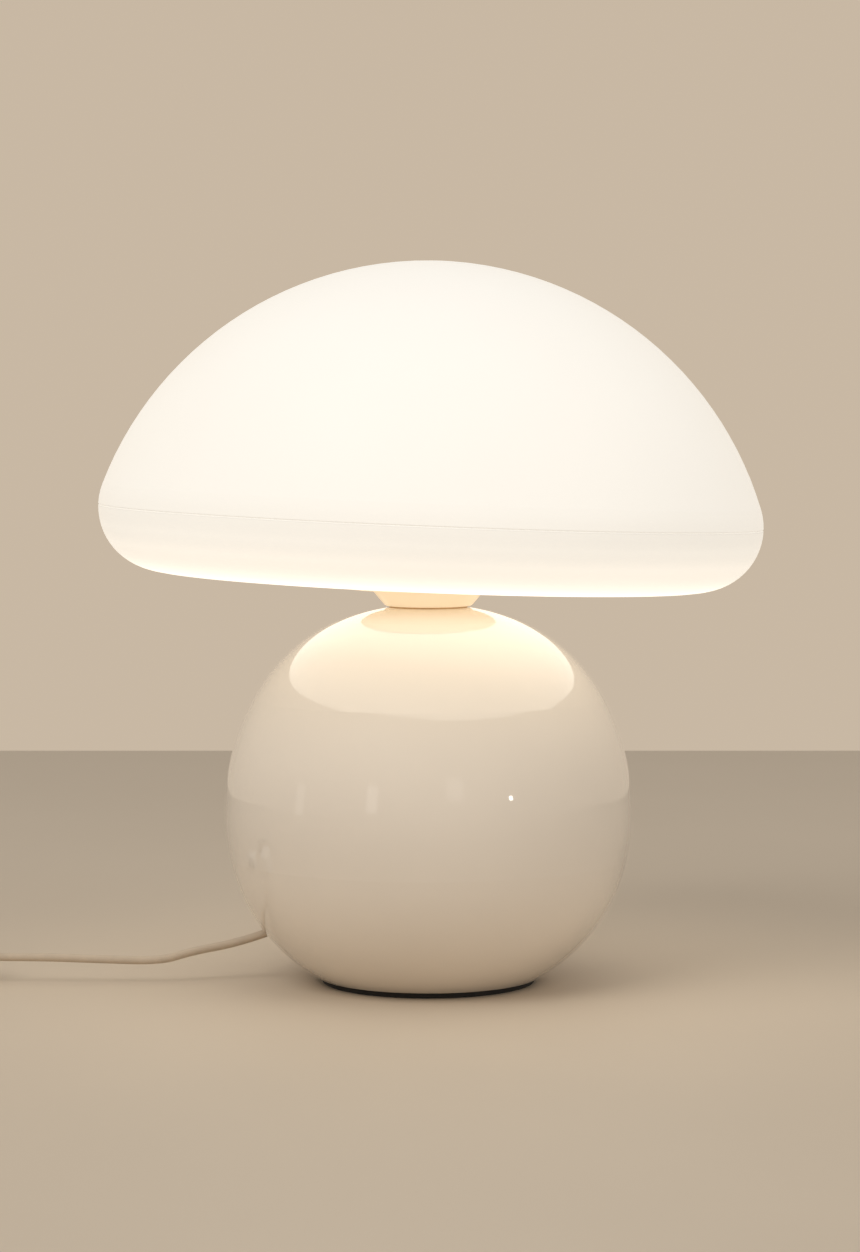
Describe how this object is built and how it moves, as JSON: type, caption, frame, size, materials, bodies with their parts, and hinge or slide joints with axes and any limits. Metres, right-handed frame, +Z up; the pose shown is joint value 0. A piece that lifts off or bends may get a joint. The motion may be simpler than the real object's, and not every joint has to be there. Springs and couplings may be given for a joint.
{
  "type": "mushroom table lamp",
  "caption": "Mushroom-shaped table lamp: opal dome shade tipped slightly on a glazed ball base, with a screw-in bulb and a cord with an in-line rocker switch and a flat plug",
  "frame": {"origin": "centre of the foot pad's underside, on the lamp's axis, on the table", "axes": "+Z up along the lamp's axis, +X to the viewer's right, where the shade is lowest, +Y away from the viewer; the cord leaves towards -X"},
  "size_m": [0.5115, 0.3, 0.3269],
  "materials": {
    "glaze": "glossy off-white glaze",
    "opal": "satin opal, translucent",
    "foam": "black foam pad",
    "seal": "soft black rubber",
    "neck": "warm cream paint",
    "steel": "zinc plated",
    "iron": "black oxide",
    "brass": "plain",
    "nickel": "nickel plated",
    "holder": "white, moulded",
    "porcelain": "bisque",
    "black_glass": "black insulating glass",
    "bulb_white": "white, moulded",
    "bulb_opal": "satin opal",
    "board": "white solder mask",
    "chip": "yellow phosphor",
    "bush": "off-white, soft",
    "cord": "smooth beige sheath",
    "core": "brown insulation",
    "tie": "white nylon",
    "switch_white": "off-white, moulded",
    "bulb_black": "black sleeve"
  },
  "bodies": {
    "base": {"base_ball": "glaze", "foot_pad": "foam", "bottom_plate": "steel", "ballast_disc": "iron", "clamp_tube": "steel", "tube_nuts": "brass", "tube_washers": "steel", "neck_washer": "seal", "neck_collar": "neck", "shade_gasket": "seal", "holder_cap": "holder", "holder_barrel": "holder", "holder_insert": "porcelain", "holder_shell": "brass", "terminal_screws": "brass", "centre_contact": "brass", "cord_bush": "bush", "lead_stop_tie": "tie", "inner_lead": "cord", "core_wires": "core", "cord_lead": "cord", "cord_tail": "cord", "cord_coil": "cord", "cord_end": "cord", "coil_tie": "tie", "switch_lower": "switch_white", "switch_upper": "switch_white", "switch_screws": "steel", "rocker_pin": "steel", "switch_contacts": "brass", "switch_cores": "core", "cord_clamps": "holder", "plug_body": "switch_white", "plug_pins": "nickel", "plug_sleeves": "bulb_black"},
    "shade": {"shade_dome": "opal", "shade_pan": "opal"},
    "bulb": {"bulb_tip": "brass", "bulb_insulator": "black_glass", "bulb_cap": "nickel", "bulb_housing": "bulb_white", "bulb_board": "board", "bulb_chips": "chip", "bulb_globe": "bulb_opal"},
    "rocker": {"rocker": "switch_white", "contact_seesaw": "brass"}
  },
  "joints": [
    {"name": "shade_lift", "type": "slide", "parent": "base", "child": "shade", "axis": [0, 0, 1], "range_m": [0, 0.105]},
    {"name": "bulb_turn", "type": "hinge", "parent": "base", "child": "bulb", "pos_m": [0, 0, 0.21], "axis": [0, 0, 1], "range_deg": [0, 1440]},
    {"name": "rocker_press", "type": "hinge", "parent": "base", "child": "rocker", "pos_m": [-0.235, -0.008, 0.0194], "axis": [0, -1, 0], "range_deg": [0, 14]}
  ]
}
